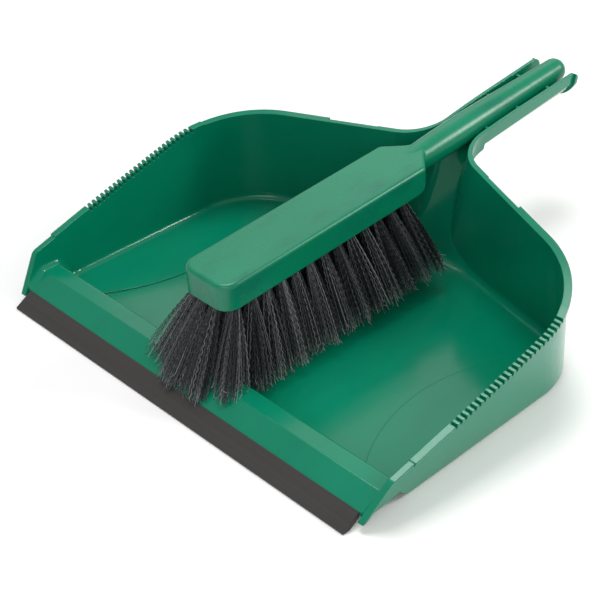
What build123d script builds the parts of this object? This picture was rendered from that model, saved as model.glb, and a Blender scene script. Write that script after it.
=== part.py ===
"""Dust pan and brush set, in millimetres.

A moulded pan with a rubber lip, and a hand brush that nests in it with its handle in
the pan's handle channel. X runs across the lip, Y from the lip to the handles, Z up.
The pan is drawn with y = 0 at the lip edge and moved to the middle of its length last.
"""
from build123d import *
from math import atan, cos, degrees, radians, sin, tan
import os

os.makedirs("parts", exist_ok=True)

# ---- overall -------------------------------------------------------------------
LENGTH = 404.0            # lip edge to the end of the brush handle
WALL = 2.5                # moulded wall of the pan
BASE_EXTRA = 1.2          # the walls are this much thicker at the ground
FLOOR = 3.2               # top of the tray floor
FAR = 400.0               # more than any size of the part, for cutting bodies

# ---- plan inside the walls, at the ground and at LOFT_TOP; in proportion between ----
LOFT_TOP = 112.0
FRONT_HALF = (161.0, 190.5)       # half width at FRONT_Y
BACK_HALF = (161.0, 177.0)        # half width where the side and back lines would meet
CORNER_Y = (228.7, 201.2)         # place of that meeting
CORNER_R = (54.5, 92.0)
BACK_ANGLE = (13.5, 22.0)         # degrees that the back wall falls away from the throat
HANDLE_HALF = (2.5, 16.7)
THROAT_R = (15.0, 42.0)
FRONT_Y = -20.0
PAN_END = 399.0                   # end of the pan's handle

# ---- pan side view ----------------------------------------------------------------
FRONT_EDGE = (10.2, 6.0)          # a point on the sloped front edge of a side wall
FRONT_SLOPE = 1.475
RIM_CORNER = (26.8, 30.5)
RIM_CORNER_R = 8.0
RAIL_KNEE = (270.9, 95.95)        # where the rim's rise eases into the handle's
RAIL_KNEE_R = 800.0
RAIL_SLOPE = 0.107
RAIL_END_R = 5.0
CHANNEL_DEPTH = 17.6              # rail top to the channel's floor
TROUGH_R = 16.6                   # round lower corners of the channel
TROUGH_DROP = 1.5                 # its axis below the rail top
TROUGH_START_Y = 296.0
CHUTE_FOOT_Y = 257.0              # the tray floor turns up into the channel here
CHUTE_TOP_Y = 283.0
CHUTE_FOOT_R = 14.0
CHUTE_TOP_R = 22.0
FLOOR_FILLET = 5.2
BELLY_FILLET = 5.5
FRONT_FOOT = [                    # underside of the side walls' front ends, (y, z) and radius
    ((12.5, 5.2), 4), ((18.5, 9.6), 6), ((40.5, 12.6), 3), ((55.0, -2.0), 10),
]

# ---- rim flange and comb ------------------------------------------------------------
FLANGE_BAND = (1.49, -2.085)      # moves the rim outline in by the flange's thickness
FLANGE_ZONES = [                  # x range, y range, how far the flange stands out
    ((100.0, 200.0), (0.0, 45.0), 1.9),
    ((89.0, 200.0), (45.0, 300.0), 2.7),
    ((52.0, 89.0), (150.0, 300.0), 0.8),
    ((0.0, 52.0), (150.0, 330.0), 1.4),
]
COMB_PAD = (45.0, 188.0)          # the rim stands this far along raised by COMB_RISE
COMB_RISE = 0.7
COMB_START_Y = 79.0
COMB_PITCH = 4.1
COMB_GAPS = 25
COMB_GAP_TOP = 2.7
COMB_GAP_FOOT = 1.7
COMB_DEPTH = 2.9
COMB_X = 172.0                    # middle of the rim where the gaps are cut
COMB_SPAN = 28.0

# ---- ramp behind the lip --------------------------------------------------------------
RAMP_START = (13.8, 9.0)
RAMP_SLOPE = 0.581
RIDGE_FRONT_Y = 28.6
RIDGE_BACK_Y = 41.5
RIDGE_FOOT_Y = 50.0
RIDGE_FRONT_R = 1.5
RIDGE_BACK_R = 2.5
RIDGE_FOOT_R = 6.0
SOFT_FROM_Y = 20.0                # walls meet the floor softly behind this
RIDGE_TOP = RAMP_START[1] + RAMP_SLOPE * (RIDGE_FRONT_Y - RAMP_START[0])
TONGUE_Y = 5.0                    # the tongue that holds the lip starts here
TONGUE_TOP = 1.6                  # below the ramp's face
TONGUE_FOOT = 2.8
TONGUE_BACK_Y = 18.0
TONGUE_HALF = 158.0
HOLLOW_Y = (10.8, 40.3, 48.5)     # front, back of the top and back of the foot, under the ramp

# ---- rubber lip --------------------------------------------------------------------------
LIP_HALF = 160.0
LIP_PROUD = 0.5                   # above the ramp's face
LIP_UNDER = 4.3                   # below the ramp's face
LIP_TIP = 1.3
LIP_BEND_Y = 7.6                  # the thin front edge turns up to the ramp's slope here

# ---- recessed panel of the floor ---------------------------------------------------------
PANEL_DEPTH = 1.1                 # at its front edge, running out to nothing at the back
PANEL_FRONT_Y = 49.0
PANEL_BACK_Y = 196.0
PANEL_ARC_R = 142.0
PANEL_ARC_CENTRE = (248.0, 130.0)

# ---- handle channel ----------------------------------------------------------------------
BEAD = 1.9                        # rim round the end of the channel
BEAD_LENGTH = 3.2
NUB_Y = (300.0, 335.0, 370.0)
NUB_REACH = 12.2                  # half gap between opposite nubs
NUB_ROOT = 16.3                   # half distance between their roots, inside the walls
NUB_WIDTH = 2.4
NUB_DROP = 1.4
NUB_HEIGHT = 7.0

# ---- brush, in its own frame: s from the nose along the flat top, z up from that top ----
NOSE_Y = 36.5
NOSE_TOP_Z = 86.4
BRUSH_TILT = atan(0.066)
BLOCK_HALF = 22.0
BLOCK_DEPTH = 19.5
BLOCK_LENGTH = 187.5
NOSE_R = 11.5
SHOULDER_R = 5.0
SHOULDER_END = 203.5              # where the shoulders run into the neck
NECK_END = 226.0
NECK_HALF = 6.5
NECK_R = 14.0
NECK_DEPTH = 11.0                 # under the shoulders, behind the block
BLOCK_BACK_R = 8.0
TOP_EDGE_R = 3.0
AXIS_DEPTH = 9.6                  # handle's axis below the flat top
HANDLE_R = [                      # (s, radius)
    (184.0, 8.9), (205.0, 10.3), (240.0, 11.2), (280.0, 11.0), (320.0, 10.0), (350.0, 9.4),
]
HANDLE_END_R = 9.2
HANDLE_TILT = 1.6                 # degrees that the handle rises from the block's top

# ---- tufts ---------------------------------------------------------------------------------
ROWS = [
    # name, x at the block, x at the tips, first s, number of tufts
    ("left_outer", -16.5, -33.0, 13.0, 13),
    ("left_inner", -5.5, -11.3, 6.5, 14),
    ("right_inner", 5.5, 11.3, 6.5, 14),
    ("right_outer", 16.5, 33.0, 13.0, 13),
]
TUFT_PITCH = 12.92
HOLE_R = 3.1
HOLE_DEPTH = 12.0
ROOT_R = 3.05
ROOT_GAP = 2.2                    # left above the root for the wire anchor
ANCHOR = (6.8, 0.6, 1.5)          # flat wire, biting into both sides of the hole
TIP_DEPTH = 82.0                  # bristles are trimmed level, this far below the flat top
TIP_HALF_X = 10.3
TIP_HALF_S = 7.4
TUFT_SIDES = 16
FRONT_S = 22.0                    # tufts in front of this lie over the ramp
FRONT_TIP = (-26.1, -76.8)        # s and z of the tip of a tuft at FIRST_S
FRONT_STEP = (1.43, 0.535)        # change of both per step along the block
FIRST_S = 6.5
BACK_TIP_S = 18.0                 # tip of the first tuft that falls behind the ridge
BACK_FIRST_S = 25.92
BACK_FAN = 1.181
RAMP_CLEARANCE = 1.2


def flat(points, radii):
    """Closed face from corner points and one corner radius each."""
    return make_face(FilletPolyline(*points, radius=radii, close=True).edges())


def slab(points, radii, half=FAR):
    """Side view outline, as (y, z) points, made as wide as 2 * half across X."""
    return extrude(Plane.YZ * flat(points, radii), amount=half, both=True)


def at_height(pair, z):
    """Plan size at height z, from its sizes at the ground and at LOFT_TOP."""
    return pair[0] + (pair[1] - pair[0]) * z / LOFT_TOP


def pan_plan(z, grow, handle_grow):
    """Plan of tray, throat and handle at height z, moved outwards by grow."""
    front = at_height(FRONT_HALF, z) + grow
    back = at_height(BACK_HALF, z) + grow
    rail = at_height(HANDLE_HALF, z) + handle_grow
    angle = radians(at_height(BACK_ANGLE, z))
    corner_y = at_height(CORNER_Y, z) + grow * (1 / cos(angle) - tan(angle))
    throat_y = corner_y + tan(angle) * (back - rail)
    points = [
        (-front, FRONT_Y), (-back, corner_y), (-rail, throat_y), (-rail, FAR + grow),
        (rail, FAR + grow), (rail, throat_y), (back, corner_y), (front, FRONT_Y),
    ]
    corner = at_height(CORNER_R, z) + grow
    throat = at_height(THROAT_R, z) - grow
    return Pos(0, 0, z) * flat(points, [0, corner, throat, 0, 0, throat, corner, 0])


def pan_body(grow, handle_grow=None, base_extra=0.0):
    """The pan's full height body between its two plans."""
    rail = grow if handle_grow is None else handle_grow
    base = pan_plan(0, grow + base_extra, rail)
    return loft([base, pan_plan(LOFT_TOP, grow, rail)], ruled=True)


def rail_z(y):
    """Top of the handle's rails."""
    return RAIL_KNEE[1] + RAIL_SLOPE * (y - RAIL_KNEE[0])


def rim_z(y):
    """Top of the side walls, in front of the knee."""
    rise = (RAIL_KNEE[1] - RIM_CORNER[1]) / (RAIL_KNEE[0] - RIM_CORNER[0])
    return RIM_CORNER[1] + rise * (y - RIM_CORNER[0])


def below_rim(move_y=0.0, move_z=0.0):
    """Everything below the rim and behind the side walls' front edges."""
    foot_y = FRONT_EDGE[0] - (FRONT_EDGE[1] + FAR / 4) / FRONT_SLOPE
    points = [
        (foot_y, -FAR / 4), RIM_CORNER, RAIL_KNEE, (PAN_END, rail_z(PAN_END)), (PAN_END, -FAR / 4),
    ]
    moved = [(y + move_y, z + move_z) for y, z in points]
    return slab(moved, [0, RIM_CORNER_R, RAIL_KNEE_R, RAIL_END_R, 0])


def between_y(y0, y1):
    """Block of space between two places along the pan."""
    return Pos(0, (y0 + y1) / 2, 0) * Box(2 * FAR, y1 - y0, 2 * FAR)


def above_belly():
    """Everything above the pan's underside: open front, foot, floor, chute and channel."""
    back_y = CHUTE_FOOT_Y + WALL
    top_y = CHUTE_TOP_Y + WALL
    drop = CHANNEL_DEPTH + WALL
    points = [
        (2 * FRONT_Y, 0.0), (back_y, 0.0), (top_y, rail_z(top_y) - drop),
        (FAR + 50, rail_z(FAR + 50) - drop), (FAR + 50, FAR), (2 * FRONT_Y, FAR),
    ]
    return slab(points, [0, CHUTE_FOOT_R + WALL, CHUTE_TOP_R - WALL, 0, 0, 0])


def below_front_foot():
    """Open space under the side walls in front of the tray floor."""
    front_z = FRONT_FOOT[0][0][1]
    back_y = FRONT_FOOT[-1][0][0] + 15
    points = [(2 * FRONT_Y, -9.0), (2 * FRONT_Y, front_z)] + [place for place, _ in FRONT_FOOT]
    points += [(back_y, FRONT_FOOT[-1][0][1]), (back_y, -9.0)]
    return slab(points, [0, 0] + [radius for _, radius in FRONT_FOOT] + [0, 0])


def ramp_z(y):
    """Height of the ramp's face."""
    return RAMP_START[1] + RAMP_SLOPE * (y - RAMP_START[0])


def above_floor():
    """Everything above ramp, ridge, floor, chute and channel, and in front of the ramp."""
    points = [
        (2 * FRONT_Y, -FAR), (RAMP_START[0], -FAR), RAMP_START, (RIDGE_FRONT_Y, RIDGE_TOP),
        (RIDGE_BACK_Y, RIDGE_TOP), (RIDGE_FOOT_Y, FLOOR), (CHUTE_FOOT_Y, FLOOR),
        (CHUTE_TOP_Y, rail_z(CHUTE_TOP_Y) - CHANNEL_DEPTH),
        (FAR + 50, rail_z(FAR + 50) - CHANNEL_DEPTH), (FAR + 50, FAR), (2 * FRONT_Y, FAR),
    ]
    radii = [0, 0, 0, RIDGE_FRONT_R, RIDGE_BACK_R, RIDGE_FOOT_R, CHUTE_FOOT_R, CHUTE_TOP_R]
    return slab(points, radii + [0, 0, 0])


def below_ramp():
    """Hollow under the ramp, open to the ground and to the front."""
    front_y, top_y, foot_y = HOLLOW_Y
    under = RIDGE_TOP - WALL
    under_y = RAMP_START[0] + (under + TONGUE_FOOT - RAMP_START[1]) / RAMP_SLOPE
    points = [
        (front_y, -FAR), (front_y, ramp_z(front_y) - TONGUE_FOOT), (under_y, under),
        (top_y, under), (foot_y, 0), (foot_y, -FAR),
    ]
    return slab(points, [0, 0, 0, 1, 0, 0])


def lower_edges(body, limit):
    """Edges below a height that stay on one side of the middle."""
    found = []
    for edge in body.edges():
        box = edge.bounding_box()
        if box.max.Z < limit and (box.min.X > -1 or box.max.X < 1):
            found.append(edge)
    return found


def under_trough(grow):
    """Space outside the channel's round lower corners, moved outwards by grow."""
    y = TROUGH_START_Y
    end = FAR + 50
    points = [
        (y, -FAR), (y, rail_z(y) - TROUGH_DROP), (end, rail_z(end) - TROUGH_DROP), (end, -FAR),
    ]
    place = Pos(0, y, rail_z(y) - TROUGH_DROP) * Rot(X=degrees(atan(RAIL_SLOPE)) - 90)
    return slab(points, [0, 0, 0, 0]) - place * Cylinder(TROUGH_R + grow, 2 * FAR)


def shell_outside():
    """Solid inside the pan's outer surfaces, up to LOFT_TOP."""
    body = pan_body(WALL, base_extra=BASE_EXTRA) & above_belly()
    low = lower_edges(body, rail_z(FAR) - CHANNEL_DEPTH - 0.5)
    return fillet(low, BELLY_FILLET) - under_trough(WALL)


def shell_inside():
    """Space between the walls, with a soft corner along ramp, floor and channel."""
    body = pan_body(0) & above_floor()
    low = lower_edges(body, rail_z(FAR) - CHANNEL_DEPTH + 1)
    behind = [e for e in low if e.bounding_box().max.Y > SOFT_FROM_Y]
    return fillet(behind, FLOOR_FILLET) - under_trough(0)


def tongue():
    """Thin edge in front of the ramp that carries the lip."""
    points = [
        (TONGUE_Y, ramp_z(TONGUE_Y) - TONGUE_FOOT), (TONGUE_Y, ramp_z(TONGUE_Y) - TONGUE_TOP),
        (TONGUE_BACK_Y, ramp_z(TONGUE_BACK_Y) - TONGUE_TOP),
        (TONGUE_BACK_Y, ramp_z(TONGUE_BACK_Y) - TONGUE_FOOT),
    ]
    return slab(points, [0, 0, 0, 0], TONGUE_HALF)


def rubber_lip():
    """Soft strip with a thin front edge, slotted to push on to the pan's tongue."""
    back = RAMP_START[0]
    under_y = back - (ramp_z(back) - LIP_UNDER) / RAMP_SLOPE
    points = [
        (0.0, 0.0), (0.0, LIP_TIP), (LIP_BEND_Y, ramp_z(LIP_BEND_Y) + LIP_PROUD),
        (back, ramp_z(back) + LIP_PROUD), (back, ramp_z(back) - LIP_UNDER), (under_y, 0.0),
    ]
    strip = slab(points, [0.5, 0.5, 0, 0.4, 0.4, 0], LIP_HALF)
    slot = [
        (TONGUE_Y, ramp_z(TONGUE_Y) - TONGUE_FOOT), (TONGUE_Y, ramp_z(TONGUE_Y) - TONGUE_TOP),
        (TONGUE_BACK_Y, ramp_z(TONGUE_BACK_Y) - TONGUE_TOP),
        (TONGUE_BACK_Y, ramp_z(TONGUE_BACK_Y) - TONGUE_FOOT),
    ]
    return strip - slab(slot, [0, 0, 0, 0], TONGUE_HALF)


def below_rim_line():
    """Everything below the rim, which stands a little higher along the comb."""
    return below_rim() + (below_rim(0, COMB_RISE) & between_y(*COMB_PAD))


def rim_flange():
    """Flange turned out from the rim, of a different reach in each zone."""
    band = below_rim_line() - below_rim(*FLANGE_BAND)
    pieces = []
    for (x0, x1), (y0, y1), reach in FLANGE_ZONES:
        size = (x1 - x0, y1 - y0, 2 * LOFT_TOP)
        rim = pan_body(WALL + reach, WALL) & band
        for side in (-1, 1):
            zone = Pos(side * (x0 + x1) / 2, (y0 + y1) / 2, LOFT_TOP) * Box(*size)
            pieces.append(rim & zone)
    return pieces


def comb_gaps():
    """Slots across both side rims that leave the teeth standing."""
    gap = flat(
        [(-COMB_GAP_FOOT / 2, -COMB_DEPTH), (-COMB_GAP_TOP / 2, 3), (COMB_GAP_TOP / 2, 3),
         (COMB_GAP_FOOT / 2, -COMB_DEPTH)],
        [0, 0, 0, 0],
    )
    cutter = extrude(Plane.YZ * gap, amount=COMB_SPAN / 2, both=True)
    rise = degrees(atan((RAIL_KNEE[1] - RIM_CORNER[1]) / (RAIL_KNEE[0] - RIM_CORNER[0])))
    cutters = []
    for side in (-1, 1):
        for i in range(COMB_GAPS):
            y = COMB_START_Y + i * COMB_PITCH
            place = Pos(side * COMB_X, y, rim_z(y) + COMB_RISE) * Rot(X=rise)
            cutters.append(place * cutter)
    return cutters


def end_bead():
    """Rim standing out round the open end of the handle channel."""
    start = PAN_END - BEAD_LENGTH
    foot = rail_z(start) - CHANNEL_DEPTH - WALL - BEAD
    points = [
        (start, foot), (start, rail_z(start)), (PAN_END, rail_z(PAN_END)), (PAN_END, foot),
    ]
    bead = slab(points, [0, 0, 0, 0]) & pan_body(WALL + BEAD) & below_rim()
    return bead - under_trough(WALL + BEAD)


def nubs():
    """Small ribs inside the channel that steady the brush handle."""
    pieces = []
    for y in NUB_Y:
        top = rail_z(y) - NUB_DROP
        shape = flat(
            [(NUB_REACH, top), (NUB_ROOT, top), (NUB_ROOT, top - NUB_HEIGHT),
             (NUB_ROOT - 0.8, top - NUB_HEIGHT), (NUB_REACH, top - 1.5)],
            [0.4, 0, 0, 0, 0.4],
        )
        for side in (-1, 1):
            rib = extrude(Plane.XZ * shape, amount=NUB_WIDTH / 2, both=True)
            pieces.append(Pos(0, y, 0) * (rib if side > 0 else mirror(rib, about=Plane.YZ)))
    return pieces


def floor_panel():
    """Shallow recess in the floor between two arcs, deepest at the ridge."""
    wedge = slab(
        [(PANEL_FRONT_Y, FLOOR - PANEL_DEPTH), (PANEL_BACK_Y, FLOOR), (PANEL_FRONT_Y, FLOOR + 1)],
        [0, 0, 0],
        150,
    )
    for side in (-1, 1):
        x, y = PANEL_ARC_CENTRE
        wedge -= Pos(side * x, y, 0) * Cylinder(PANEL_ARC_R, 40)
    return wedge


def dustpan_body():
    """The pan's single moulding."""
    inside = shell_inside()
    pan = shell_outside() & below_rim_line()
    pan += rim_flange()
    pan -= below_front_foot()
    pan -= inside
    pan -= pan_body(0) & below_ramp()
    pan += tongue()
    pan -= floor_panel()
    pan -= comb_gaps()
    pan += end_bead() - inside
    pan += nubs()
    return pan


def in_set(shape):
    """A shape from the brush's frame, placed in the set."""
    return Pos(0, NOSE_Y, NOSE_TOP_Z) * Rot(X=degrees(BRUSH_TILT)) * shape


def block():
    """Bar that carries the tufts, with shoulders that run into the handle."""
    side = [
        (BLOCK_HALF, 0), (BLOCK_HALF, BLOCK_LENGTH), (NECK_HALF, SHOULDER_END),
        (NECK_HALF, NECK_END),
    ]
    other = [(-x, y) for x, y in reversed(side)]
    radii = [NOSE_R, SHOULDER_R, NECK_R, 0]
    bar = extrude(flat(side + other, radii + radii[::-1]), amount=-BLOCK_DEPTH)
    top = bar.faces().sort_by(Axis.Z)[-1]
    bar = fillet([e for e in top.edges() if e.bounding_box().min.Y < NECK_END - 1], TOP_EDGE_R)
    profile = [
        (-1, 1), (-1, -BLOCK_DEPTH), (BLOCK_LENGTH + 1, -BLOCK_DEPTH),
        (BLOCK_LENGTH + 1, -NECK_DEPTH), (NECK_END, -NECK_DEPTH), (NECK_END, 1),
    ]
    return bar & slab(profile, [0, 0, BLOCK_BACK_R, 0, 0, 0])


def handle():
    """Round grip, thickest behind the neck, with a domed end."""
    start, start_r = HANDLE_R[0]
    start_y = NOSE_Y + start * cos(BRUSH_TILT) + AXIS_DEPTH * sin(BRUSH_TILT)
    reach = LENGTH - HANDLE_END_R - start_y
    end = start + reach / cos(BRUSH_TILT + radians(HANDLE_TILT))
    swell = Spline(
        *HANDLE_R, (end, HANDLE_END_R), tangents=[(1, 0.09), (1, 0)]
    )
    mid = HANDLE_END_R * sin(radians(45))
    dome = ThreePointArc((end, HANDLE_END_R), (end + mid, mid), (end + HANDLE_END_R, 0))
    back = Polyline((end + HANDLE_END_R, 0), (start, 0), (start, start_r))
    profile = make_face(Curve() + [swell, dome, back])
    turned = revolve(profile, axis=Axis.X)
    return Pos(0, start, -AXIS_DEPTH) * Rot(X=HANDLE_TILT) * Pos(0, -start, 0) * Rot(Z=90) * turned


def tuft_seats():
    """Node name, x at the block, x at the tips and s of every tuft."""
    seats = []
    for row, x, tip_x, first, count in ROWS:
        for i in range(count):
            seats.append((f"bristle_{row}_{i + 1:02d}", x, tip_x, first + i * TUFT_PITCH))
    return seats


def brush_block():
    """Block, neck and handle in one moulding, with a blind hole for each tuft."""
    hole_z = -BLOCK_DEPTH + HOLE_DEPTH / 2
    holes = [Pos(x, s, hole_z) * Cylinder(HOLE_R, HOLE_DEPTH) for _, x, _, s in tuft_seats()]
    return in_set((block() + handle()) - holes)


def tuft_tip(s):
    """Where the middle of a tuft's tip lies along the brush and in height."""
    if s < FRONT_S:
        ahead = s - FIRST_S
        return FRONT_TIP[0] + FRONT_STEP[0] * ahead, FRONT_TIP[1] + FRONT_STEP[1] * ahead
    return BACK_TIP_S + BACK_FAN * (s - BACK_FIRST_S), -TIP_DEPTH


def above_ramp():
    """Space over the ramp and the ridge that bent tufts keep clear of."""
    lift = RAMP_CLEARANCE
    points = [
        (0, -9), (0, ramp_z(0) + LIP_PROUD + lift), (RIDGE_FRONT_Y, RIDGE_TOP + lift),
        (RIDGE_BACK_Y + lift, RIDGE_TOP + lift), (RIDGE_BACK_Y + lift, -9),
    ]
    return slab(points, [0, 0, 0, 0, 0], 60)


def tuft_outline(x, s, z, half_x):
    """Many-sided oval outline of a tuft, half_x wide to each side of its middle."""
    half_s = half_x * TIP_HALF_S / TIP_HALF_X
    turns = [radians(360 * i / TUFT_SIDES) for i in range(TUFT_SIDES)]
    oval = [(x + half_x * cos(turn), s + half_s * sin(turn), z) for turn in turns]
    return make_face(Polyline(*oval, close=True))


def bristle_tuft(x, tip_x, s):
    """Tuft: root in its hole, then a clump that opens out to its trimmed tip."""
    tip_s, tip_z = tuft_tip(s)
    root_length = HOLE_DEPTH - ROOT_GAP
    root = Pos(x, s, -BLOCK_DEPTH + root_length / 2) * Cylinder(ROOT_R, root_length)
    top = tuft_outline(x, s, -BLOCK_DEPTH, ROOT_R)
    tip = tuft_outline(tip_x, tip_s, tip_z, TIP_HALF_X)
    tuft = in_set(root + loft([tip, top], ruled=True))
    if s < FRONT_S:
        tuft -= above_ramp()
    return tuft


def tuft_anchors():
    """Short flat wires that hold the tufts in, one above each root."""
    z = -BLOCK_DEPTH + HOLE_DEPTH - ANCHOR[2] / 2
    return in_set(Compound([Pos(x, s, z) * Box(*ANCHOR) for _, x, _, s in tuft_seats()]))


def save(shape, node):
    """Write one node, moved so that the origin is at the middle of the length."""
    solids = shape.solids()
    body = solids[0] if len(solids) == 1 else Compound(solids)
    export_step(Pos(0, -LENGTH / 2, 0) * body, f"parts/{node}.step")


save(dustpan_body(), "dustpan_body")
save(rubber_lip(), "rubber_lip")
save(brush_block(), "brush_block")
save(tuft_anchors(), "tuft_anchors")
for name, root_x, tip_x, along in tuft_seats():
    save(bristle_tuft(root_x, tip_x, along), name)
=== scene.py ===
"""Looks for the dust pan and brush set: plastics, rubber, bristles, light and camera."""
import math
import random

import bpy
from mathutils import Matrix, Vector

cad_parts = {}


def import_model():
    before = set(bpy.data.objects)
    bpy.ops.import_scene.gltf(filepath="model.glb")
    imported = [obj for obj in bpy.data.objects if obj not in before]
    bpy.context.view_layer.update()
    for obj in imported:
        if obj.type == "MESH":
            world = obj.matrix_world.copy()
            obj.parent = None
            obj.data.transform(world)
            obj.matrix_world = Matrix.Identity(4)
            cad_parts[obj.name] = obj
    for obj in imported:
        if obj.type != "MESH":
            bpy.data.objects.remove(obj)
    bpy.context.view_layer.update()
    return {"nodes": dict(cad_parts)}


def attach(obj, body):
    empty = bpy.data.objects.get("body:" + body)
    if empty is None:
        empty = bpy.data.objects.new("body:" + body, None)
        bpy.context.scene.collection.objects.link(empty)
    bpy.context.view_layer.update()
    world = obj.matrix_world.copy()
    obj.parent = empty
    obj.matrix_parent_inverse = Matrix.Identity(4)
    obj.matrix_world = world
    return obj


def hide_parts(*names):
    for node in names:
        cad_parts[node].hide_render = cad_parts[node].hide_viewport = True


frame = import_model()

HALF_LENGTH = 0.202       # the frame's origin is this far behind the lip's edge
NOSE = Vector((0.0, 0.0365 - HALF_LENGTH, 0.0864))    # front end of the brush's flat top
RISE = 0.066              # of the brush towards its handle, per length
TILT = math.atan(RISE)
BLOCK_DEPTH = 0.0195


# ---- shader helpers ------------------------------------------------------------------------
def srgb(r, g, b):
    """Linear colour from 0-255 display values."""
    def channel(v):
        v /= 255.0
        return v / 12.92 if v <= 0.04045 else ((v + 0.055) / 1.055) ** 2.4
    return (channel(r), channel(g), channel(b), 1.0)


class Graph:
    """Shader node tree builder."""

    def __init__(self, name):
        self.material = bpy.data.materials.new(name)
        self.material.use_nodes = True
        self.tree = self.material.node_tree
        self.bsdf = self.tree.nodes["Principled BSDF"]

    def add(self, kind, **values):
        node = self.tree.nodes.new(kind)
        for key, value in values.items():
            setattr(node, key, value)
        return node

    def link(self, a, b):
        self.tree.links.new(a, b)

    def object_coords(self):
        return self.add("ShaderNodeTexCoord").outputs["Object"]

    def mapped(self, vector, scale=(1, 1, 1), rotation=(0, 0, 0)):
        """Coordinates stretched per axis, then turned."""
        node = self.add("ShaderNodeMapping")
        node.inputs["Scale"].default_value = scale
        node.inputs["Rotation"].default_value = rotation
        self.link(vector, node.inputs["Vector"])
        return node.outputs["Vector"]

    def noise(self, vector, scale, detail=4.0, roughness=0.5):
        node = self.add("ShaderNodeTexNoise")
        node.inputs["Scale"].default_value = scale
        node.inputs["Detail"].default_value = detail
        node.inputs["Roughness"].default_value = roughness
        self.link(vector, node.inputs["Vector"])
        return node.outputs["Fac"]

    def ramp(self, fac, *stops):
        """Colour ramp through stops of (place, colour)."""
        node = self.add("ShaderNodeValToRGB")
        elements = node.color_ramp.elements
        while len(elements) < len(stops):
            elements.new(0.5)
        for element, (place, colour) in zip(elements, stops):
            element.position = place
            element.color = colour
        self.link(fac, node.inputs["Fac"])
        return node.outputs["Color"]

    def levels(self, fac, low, high, out_low, out_high):
        """Stretches low..high to out_low..out_high."""
        node = self.add("ShaderNodeMapRange")
        for name, value in (("From Min", low), ("From Max", high), ("To Min", out_low),
                            ("To Max", out_high)):
            node.inputs[name].default_value = value
        self.link(fac, node.inputs["Value"])
        return node.outputs["Result"]

    def mix(self, fac, a, b):
        """Colour a towards colour b, by fac; each is a constant or another node's output."""
        node = self.add("ShaderNodeMix", data_type="RGBA", blend_type="MIX")
        for value, socket in ((fac, 0), (a, 6), (b, 7)):
            if isinstance(value, (int, float, tuple)):
                node.inputs[socket].default_value = value
            else:
                self.link(value, node.inputs[socket])
        return node.outputs[2]

    def bump(self, *layers, edge=0.0):
        """Bump layers of (height, strength, distance), stacked over slightly rounded edges."""
        last = None
        if edge:
            node = self.add("ShaderNodeBevel", samples=6)
            node.inputs["Radius"].default_value = edge
            last = node.outputs["Normal"]
        for height, strength, distance in layers:
            node = self.add("ShaderNodeBump")
            node.inputs["Strength"].default_value = strength
            node.inputs["Distance"].default_value = distance
            self.link(height, node.inputs["Height"])
            if last is not None:
                self.link(last, node.inputs["Normal"])
            last = node.outputs["Normal"]
        self.link(last, self.bsdf.inputs["Normal"])


# ---- materials -----------------------------------------------------------------------------
SCUFF_TONE = srgb(90, 170, 135)
SINK_TONE = srgb(0, 92, 76)
PLASTIC_IOR = 1.44
DUST_TONE = srgb(84, 81, 78)
GLINT_TONE = srgb(98, 98, 101)


def plastic(name, dark, light, roughness, spread, grain, edge, mottle):
    """Moulded polypropylene: cloudy pigment, darker sink marks, fine scuffs, softened edges."""
    g = Graph(name)
    where = g.object_coords()
    cloud = g.noise(g.mapped(where, (1, 0.6, 1)), scale=9.0, detail=3.0, roughness=0.45)
    flow = g.noise(g.mapped(where, (26, 5, 14), (0, 0, 0.2)), scale=2.4, detail=5.0,
                   roughness=0.55)
    speck = g.noise(where, scale=900.0, detail=2.0, roughness=0.6)
    tone = g.ramp(cloud, (0.3, dark), (0.7, light))
    tone = g.mix(g.levels(flow, 0.35, 0.7, 0.0, 0.10), tone, light)
    tone = g.mix(g.levels(speck, 0.66, 0.85, 0.0, 0.06), tone, SCUFF_TONE)
    sink = g.noise(g.mapped(where, (1.6, 0.55, 1.0), (0, 0, 0.3)), scale=26.0, detail=4.0,
                   roughness=0.6)
    tone = g.mix(g.levels(sink, 0.5, 0.72, 0.0, mottle), tone, SINK_TONE)
    g.link(tone, g.bsdf.inputs["Base Color"])
    scuff = g.noise(g.mapped(where, (40, 160, 60), (0.2, 0.1, 0.5)), scale=5.0, detail=6.0,
                    roughness=0.7)
    g.link(g.levels(scuff, 0.35, 0.75, roughness, roughness + spread), g.bsdf.inputs["Roughness"])
    g.bsdf.inputs["IOR"].default_value = PLASTIC_IOR
    wave = g.noise(where, scale=30.0, detail=2.0, roughness=0.4)
    fine = g.noise(where, scale=1500.0, detail=2.0, roughness=0.6)
    g.bump((wave, 0.05, 0.002), (fine, grain, 0.0001), edge=edge)
    return g.material


def rubber():
    """Dull dark strip with fine dust and lengthwise extrusion lines."""
    g = Graph("lip_rubber_look")
    where = g.object_coords()
    lines = g.noise(g.mapped(where, (3, 700, 700)), scale=1.5, detail=3.0, roughness=0.6)
    dust = g.noise(where, scale=60.0, detail=6.0, roughness=0.7)
    tone = g.ramp(lines, (0.3, srgb(52, 51, 50)), (0.7, srgb(62, 60, 59)))
    tone = g.mix(g.levels(dust, 0.55, 0.8, 0.0, 0.25), tone, DUST_TONE)
    g.link(tone, g.bsdf.inputs["Base Color"])
    g.link(g.levels(dust, 0.3, 0.8, 0.5, 0.75), g.bsdf.inputs["Roughness"])
    grain = g.noise(where, scale=1100.0, detail=3.0, roughness=0.7)
    g.bsdf.inputs["Specular IOR Level"].default_value = 0.3
    g.bump((lines, 0.12, 0.0004), (grain, 0.25, 0.0002), edge=0.0003)
    return g.material


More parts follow.
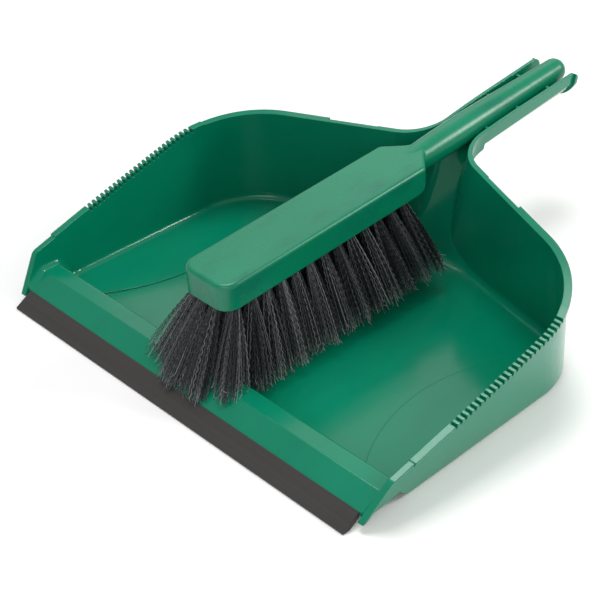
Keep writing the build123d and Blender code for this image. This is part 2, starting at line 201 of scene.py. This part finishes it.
def filament():
    """Near-black synthetic filament; its tone changes from strand to strand."""
    g = Graph("bristles_look")
    own = g.add("ShaderNodeAttribute", attribute_name="strand")
    where = g.object_coords()
    streak = g.noise(where, scale=260.0, detail=3.0, roughness=0.6)
    tone = g.ramp(own.outputs["Fac"], (0.0, srgb(24, 26, 29)), (0.5, srgb(58, 61, 66)),
                  (0.8, srgb(104, 106, 110)), (1.0, srgb(150, 148, 148)))
    tone = g.mix(g.levels(streak, 0.6, 0.8, 0.0, 0.3), tone, GLINT_TONE)
    g.link(tone, g.bsdf.inputs["Base Color"])
    g.link(g.levels(streak, 0.3, 0.7, 0.2, 0.36), g.bsdf.inputs["Roughness"])
    return g.material


def steel():
    """Plain drawn wire."""
    g = Graph("anchor_wire_look")
    where = g.object_coords()
    drawn = g.noise(g.mapped(where, (60, 2000, 2000)), scale=2.0, detail=3.0, roughness=0.6)
    g.link(g.ramp(drawn, (0.3, srgb(150, 148, 145)), (0.7, srgb(190, 188, 184))),
           g.bsdf.inputs["Base Color"])
    g.bsdf.inputs["Metallic"].default_value = 1.0
    g.link(g.levels(drawn, 0.3, 0.7, 0.25, 0.45), g.bsdf.inputs["Roughness"])
    g.bump((drawn, 0.3, 0.0001))
    return g.material


def give(node, material):
    """Puts one material on a CAD node."""
    mesh = frame["nodes"][node].data
    mesh.materials.clear()
    mesh.materials.append(material)


give("dustpan_body", plastic("pan_plastic_look", dark=srgb(0, 118, 88), light=srgb(4, 130, 98),
                             roughness=0.13, spread=0.08, grain=0.03, edge=0.0007, mottle=0.15))
give("brush_block", plastic("brush_plastic_look", dark=srgb(2, 116, 84), light=srgb(8, 130, 95),
                            roughness=0.26, spread=0.12, grain=0.05, edge=0.0010, mottle=0.6))
give("rubber_lip", rubber())
give("tuft_anchors", steel())
bristle_look = filament()


# ---- bristles ------------------------------------------------------------------------------
# s runs along the brush from its nose, z up from its flat top
ROWS = [
    # name, x at the block, x at the tips, s of the first tuft, number of tufts
    ("left_outer", -0.0165, -0.0330, 0.0130, 13),
    ("left_inner", -0.0055, -0.0113, 0.0065, 14),
    ("right_inner", 0.0055, 0.0113, 0.0065, 14),
    ("right_outer", 0.0165, 0.0330, 0.0130, 13),
]
PITCH = 0.01292
ROW_SEEDS = 1000          # seeds kept for each row

# where the tufts end
FRONT_S = 0.022           # tufts in front of this lie over the ramp
BRIDGE_S = 0.040          # tufts in front of this part over the ridge
MIXED_S = 0.010           # front tufts behind this have some strands that lean back
FRONT_FIRST_S = 0.0065
FRONT_TIP = (-0.0261, -0.0768)    # s and z of the tip of a tuft at FRONT_FIRST_S
FRONT_STEP = (1.43, 0.535)        # change of both per step along the block
BACK_FIRST_S = 0.02592
BACK_TIP_S = 0.0180       # tip of the first tuft that falls behind the ridge
BACK_FAN = 1.181
TIP_DEPTH = 0.0815
TIP_DRAW = 0.95           # of the row's x at the tips
FRONT_SPREAD = (0.0118, 0.0070)   # half size of a tuft's tip across and along the brush
BACK_SPREAD = (0.0098, 0.0078)

# the pan under them; y is measured from the lip
RAMP_FOOT, RAMP_FOOT_Z, RAMP_SLOPE = 0.0138, 0.0090, 0.581
RIDGE_FRONT, RIDGE_BACK, RIDGE_TOP = 0.0286, 0.0415, 0.0179
RIDGE_FALL = 0.0085       # length of the slope behind the ridge
FLOOR_TOP = 0.0034
LIE_OFF = 0.0006          # strands stay this far above the pan

# one strand
STRANDS = 150             # in each tuft
POINTS, QUICK_POINTS = 24, 18     # along each strand
SIDES = 4
OFF_AXIS = Vector((0.31, 0.95, 0.05))    # strands do not run this way
STRAND_R = (0.00015, 0.00021)
END_TAPER = 0.8
ROOT_R = 0.0027           # of the clump where it leaves the block
SINK = 0.006              # strands start this far inside the block
CRIMP = (0.00022, 0.00048)
CRIMP_GROWTH = 5          # the crimp grows to full size over the first fifth
TWIST = 0.5               # turn of the crimp, from tuft to tuft and from strand to strand
SLIP = 0.3                # of the distance between two points
BOW = (0.0016, 0.0012)    # outward curve across and along the brush
TRIM = (-0.0004, 0.0035)  # by how much most strands fall short of the tip
SHORT = (0.002, 0.011)    # by how much the short ones do
SHORT_FROM = 0.7          # strands whose draw is above this are the short ones
STRAY_FROM = 0.92         # strands whose draw is above this splay more
STRAY_SPREAD = 1.2
BACKWARD, BACKWARD_SHARE = (0.003, 0.014), 0.35
FORWARD, FORWARD_SHARE = (0.004, 0.018), 0.5
FRAY, FRAY_LIFT, FRAY_SHARE = 0.0015, 0.001, 0.5

# its tone, from 0 for dark to 1 for light
TONE_POWER = 1.7          # keeps most strands dark
WORN = 0.8                # most that a worn tip is lighter
WORN_LENGTH = 0.15        # of a strand


def in_set(x, s, z):
    """Point of the brush's own axes (x, s, z) in the set's frame."""
    c, t = math.cos(TILT), math.sin(TILT)
    return Vector((x, NOSE.y + s * c - z * t, NOSE.z + s * t + z * c))


def pan_top(y):
    """Height of ramp, ridge and floor under the bristles."""
    if y < RAMP_FOOT:
        return RAMP_FOOT_Z - (RAMP_FOOT - y) * RAMP_SLOPE
    if y < RIDGE_FRONT:
        return RAMP_FOOT_Z + (y - RAMP_FOOT) * RAMP_SLOPE
    if y < RIDGE_BACK:
        return RIDGE_TOP
    fall = (y - RIDGE_BACK) / RIDGE_FALL
    return max(FLOOR_TOP, RIDGE_TOP - fall * (RIDGE_TOP - FLOOR_TOP))


def tip_of(s):
    """Middle of the tip of a tuft that is rooted at s: its own s and z."""
    if s < FRONT_S:
        step = s - FRONT_FIRST_S
        return FRONT_TIP[0] + FRONT_STEP[0] * step, FRONT_TIP[1] + FRONT_STEP[1] * step
    return BACK_TIP_S + BACK_FAN * (s - BACK_FIRST_S), -TIP_DEPTH


def strand_tip(rng, tip_x, s, dx, ds):
    """End of a strand; dx and ds, -1 to 1, are its place in the tuft's round section."""
    front = s < FRONT_S
    half_x, half_s = FRONT_SPREAD if front else BACK_SPREAD
    spread_x = half_x * rng.uniform(0.8, 1.1)
    spread_s = half_s * rng.uniform(0.8, 1.15)
    stray = rng.random()
    if stray > STRAY_FROM:
        spread_x *= STRAY_SPREAD
        spread_s *= STRAY_SPREAD
    cut = rng.uniform(*TRIM) if stray < SHORT_FROM else rng.uniform(*SHORT)
    tip_s, tip_z = tip_of(s)
    if front and s > MIXED_S and rng.random() < BACKWARD_SHARE:
        tip_s += rng.uniform(*BACKWARD)
    elif FRONT_S < s < BRIDGE_S and rng.random() < FORWARD_SHARE:
        tip_s -= rng.uniform(*FORWARD)
    return in_set(tip_x * TIP_DRAW + dx * spread_x, tip_s + ds * spread_s, tip_z + cut)


def across(axis, turn):
    """Direction square to the axis, turned about it."""
    side = axis.cross(Vector((0, 1, 0))).normalized()
    up = axis.cross(side)
    return side * math.cos(turn) + up * math.sin(turn)


def strand_points(rng, x, tip_x, s, count, twist):
    """One strand from its root in the block to its frayed tip, crimped in step with its tuft."""
    angle = rng.uniform(0, 2 * math.pi)
    reach = math.sqrt(rng.random())
    dx, ds = math.cos(angle) * reach, math.sin(angle) * reach
    root = in_set(x + dx * ROOT_R, s + ds * ROOT_R, -BLOCK_DEPTH + SINK)
    mouth = in_set(x + dx * ROOT_R, s + ds * ROOT_R, -BLOCK_DEPTH)
    tip = strand_tip(rng, tip_x, s, dx, ds)
    bow = Vector((dx * BOW[0], ds * BOW[1], 0.0))
    crimp = across((tip - mouth).normalized(), twist + rng.gauss(0, TWIST))
    size = rng.uniform(*CRIMP)
    slip = rng.uniform(-SLIP, SLIP) / (count - 1)
    points = [root]
    for i in range(count):
        u = i / (count - 1)
        shift = 0.0 if i in (0, count - 1) else slip
        p = mouth.lerp(tip, u + shift) + bow * math.sin(math.pi * u)
        p += crimp * (size * min(1.0, CRIMP_GROWTH * u) * (1 if i % 2 else -1))
        if i == count - 1 and rng.random() < FRAY_SHARE:
            p += Vector((rng.gauss(0, FRAY), rng.gauss(0, FRAY), rng.uniform(0, FRAY_LIFT)))
        p.z = max(p.z, pan_top(p.y + HALF_LENGTH) + LIE_OFF)
        points.append(p)
    return points


def tube(points, radius, sides, verts, faces):
    """Thin tube along the points, closed at both ends, added to verts and faces."""
    base = len(verts)
    count = len(points)
    for i, p in enumerate(points):
        ahead = points[min(i + 1, count - 1)] - points[max(i - 1, 0)]
        ahead.normalize()
        aside = ahead.cross(OFF_AXIS).normalized()
        other = ahead.cross(aside)
        r = radius * (END_TAPER if i == count - 1 else 1.0)
        for k in range(sides):
            a = 2 * math.pi * k / sides
            verts.append(p + aside * (r * math.cos(a)) + other * (r * math.sin(a)))
    for i in range(count - 1):
        for k in range(sides):
            n = (k + 1) % sides
            a, b = base + i * sides + k, base + i * sides + n
            faces.append((a, b, b + sides, a + sides))
    faces.append(tuple(base + k for k in reversed(range(sides))))
    faces.append(tuple(base + (count - 1) * sides + k for k in range(sides)))


def tuft(name, x, tip_x, s, seed):
    """All the strands of one tuft as one mesh, with a tone on each face."""
    rng = random.Random(seed)
    verts, faces, tones = [], [], []
    count = POINTS
    twist = rng.uniform(-TWIST, TWIST)
    for _ in range(STRANDS):
        before = len(faces)
        points = strand_points(rng, x, tip_x, s, count, twist)
        tube(points, rng.uniform(*STRAND_R), SIDES, verts, faces)
        tone = rng.random() ** TONE_POWER
        worn = rng.uniform(0.0, WORN)
        for face in range(len(faces) - before):
            along = min(1.0, face / (SIDES * count))
            tones.append(min(1.0, tone + worn * max(0.0, along - (1 - WORN_LENGTH)) / WORN_LENGTH))
    mesh = bpy.data.meshes.new(name)
    mesh.from_pydata([tuple(v) for v in verts], [], faces)
    attribute = mesh.attributes.new("strand", "FLOAT", "FACE")
    attribute.data.foreach_set("value", tones)
    mesh.materials.append(bristle_look)
    mesh.validate()
    piece = bpy.data.objects.new(name, mesh)
    bpy.context.scene.collection.objects.link(piece)
    return piece


for row_index, (row, x, tip_x, first, tufts) in enumerate(ROWS):
    for i in range(tufts):
        node = f"bristle_{row}_{i + 1:02d}"
        piece = tuft(f"strands_{row}_{i + 1:02d}", x, tip_x, first + i * PITCH,
                     ROW_SEEDS * row_index + i)
        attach(piece, "brush")
        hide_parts(node)


# ---- studio --------------------------------------------------------------------------------
GROUND_SIZE = 8.0
GROUND_Z = -0.0002        # just under the pan
GROUND_TONE = (0.93, 0.93, 0.93, 1.0)
LENS = 87.0               # mm, on a sensor 36 mm wide
AZIMUTH, ELEVATION = math.radians(45.20), math.radians(34.97)
CAMERA_PLACE = (0.5760, -0.4481 - HALF_LENGTH, 0.5938)
WORLD_STRENGTH = 0.45


def floor():
    """Plain pale ground."""
    bpy.ops.mesh.primitive_plane_add(size=GROUND_SIZE, location=(0, 0, GROUND_Z))
    ground = bpy.context.object
    ground.name = "ground"
    g = Graph("ground_look")
    g.bsdf.inputs["Base Color"].default_value = GROUND_TONE
    g.bsdf.inputs["Roughness"].default_value = 0.9
    ground.data.materials.append(g.material)


def light(name, place, target, size, power, colour=(1, 1, 1)):
    """Rectangular soft light that faces the target."""
    data = bpy.data.lights.new(name, "AREA")
    data.shape = "RECTANGLE"
    data.size, data.size_y = size
    data.energy = power
    data.color = colour
    lamp = bpy.data.objects.new(name, data)
    lamp.location = place
    lamp.rotation_euler = (Vector(target) - Vector(place)).to_track_quat("-Z", "Y").to_euler()
    bpy.context.scene.collection.objects.link(lamp)


def camera():
    """The view over the right front corner, as a long lens sees it."""
    data = bpy.data.cameras.new("camera")
    data.lens = LENS
    data.sensor_width = 36.0
    data.clip_start = 0.01
    cam = bpy.data.objects.new("camera", data)
    level = math.cos(ELEVATION)
    back = Vector((math.sin(AZIMUTH) * level, -math.cos(AZIMUTH) * level, math.sin(ELEVATION)))
    cam.rotation_euler = back.to_track_quat("Z", "Y").to_euler()
    cam.location = CAMERA_PLACE
    bpy.context.scene.collection.objects.link(cam)
    bpy.context.scene.camera = cam


def world():
    """Even pale surroundings."""
    w = bpy.data.worlds.new("studio")
    w.use_nodes = True
    back = w.node_tree.nodes["Background"]
    back.inputs["Color"].default_value = (1.0, 1.0, 1.0, 1.0)
    back.inputs["Strength"].default_value = WORLD_STRENGTH
    bpy.context.scene.world = w
    bpy.context.scene.view_settings.view_transform = "Standard"


floor()
world()
light("key_top", place=(-0.45, 0.15, 1.9), target=(0, 0, 0.03), size=(0.9, 0.9), power=21.0)
light("panel_back_left", place=(-1.0, 1.15, 1.05), target=(0, 0, 0.05), size=(1.1, 0.9), power=2.6)
light("edge_back_right", place=(1.1, 1.2, 1.1), target=(0, 0, 0.05), size=(0.5, 0.5), power=16.0,
      colour=(1.0, 0.985, 0.94))
light("fill_front", place=(0.9, -1.3, 0.9), target=(0, 0, 0.03), size=(1.2, 0.8), power=7.0)
camera()
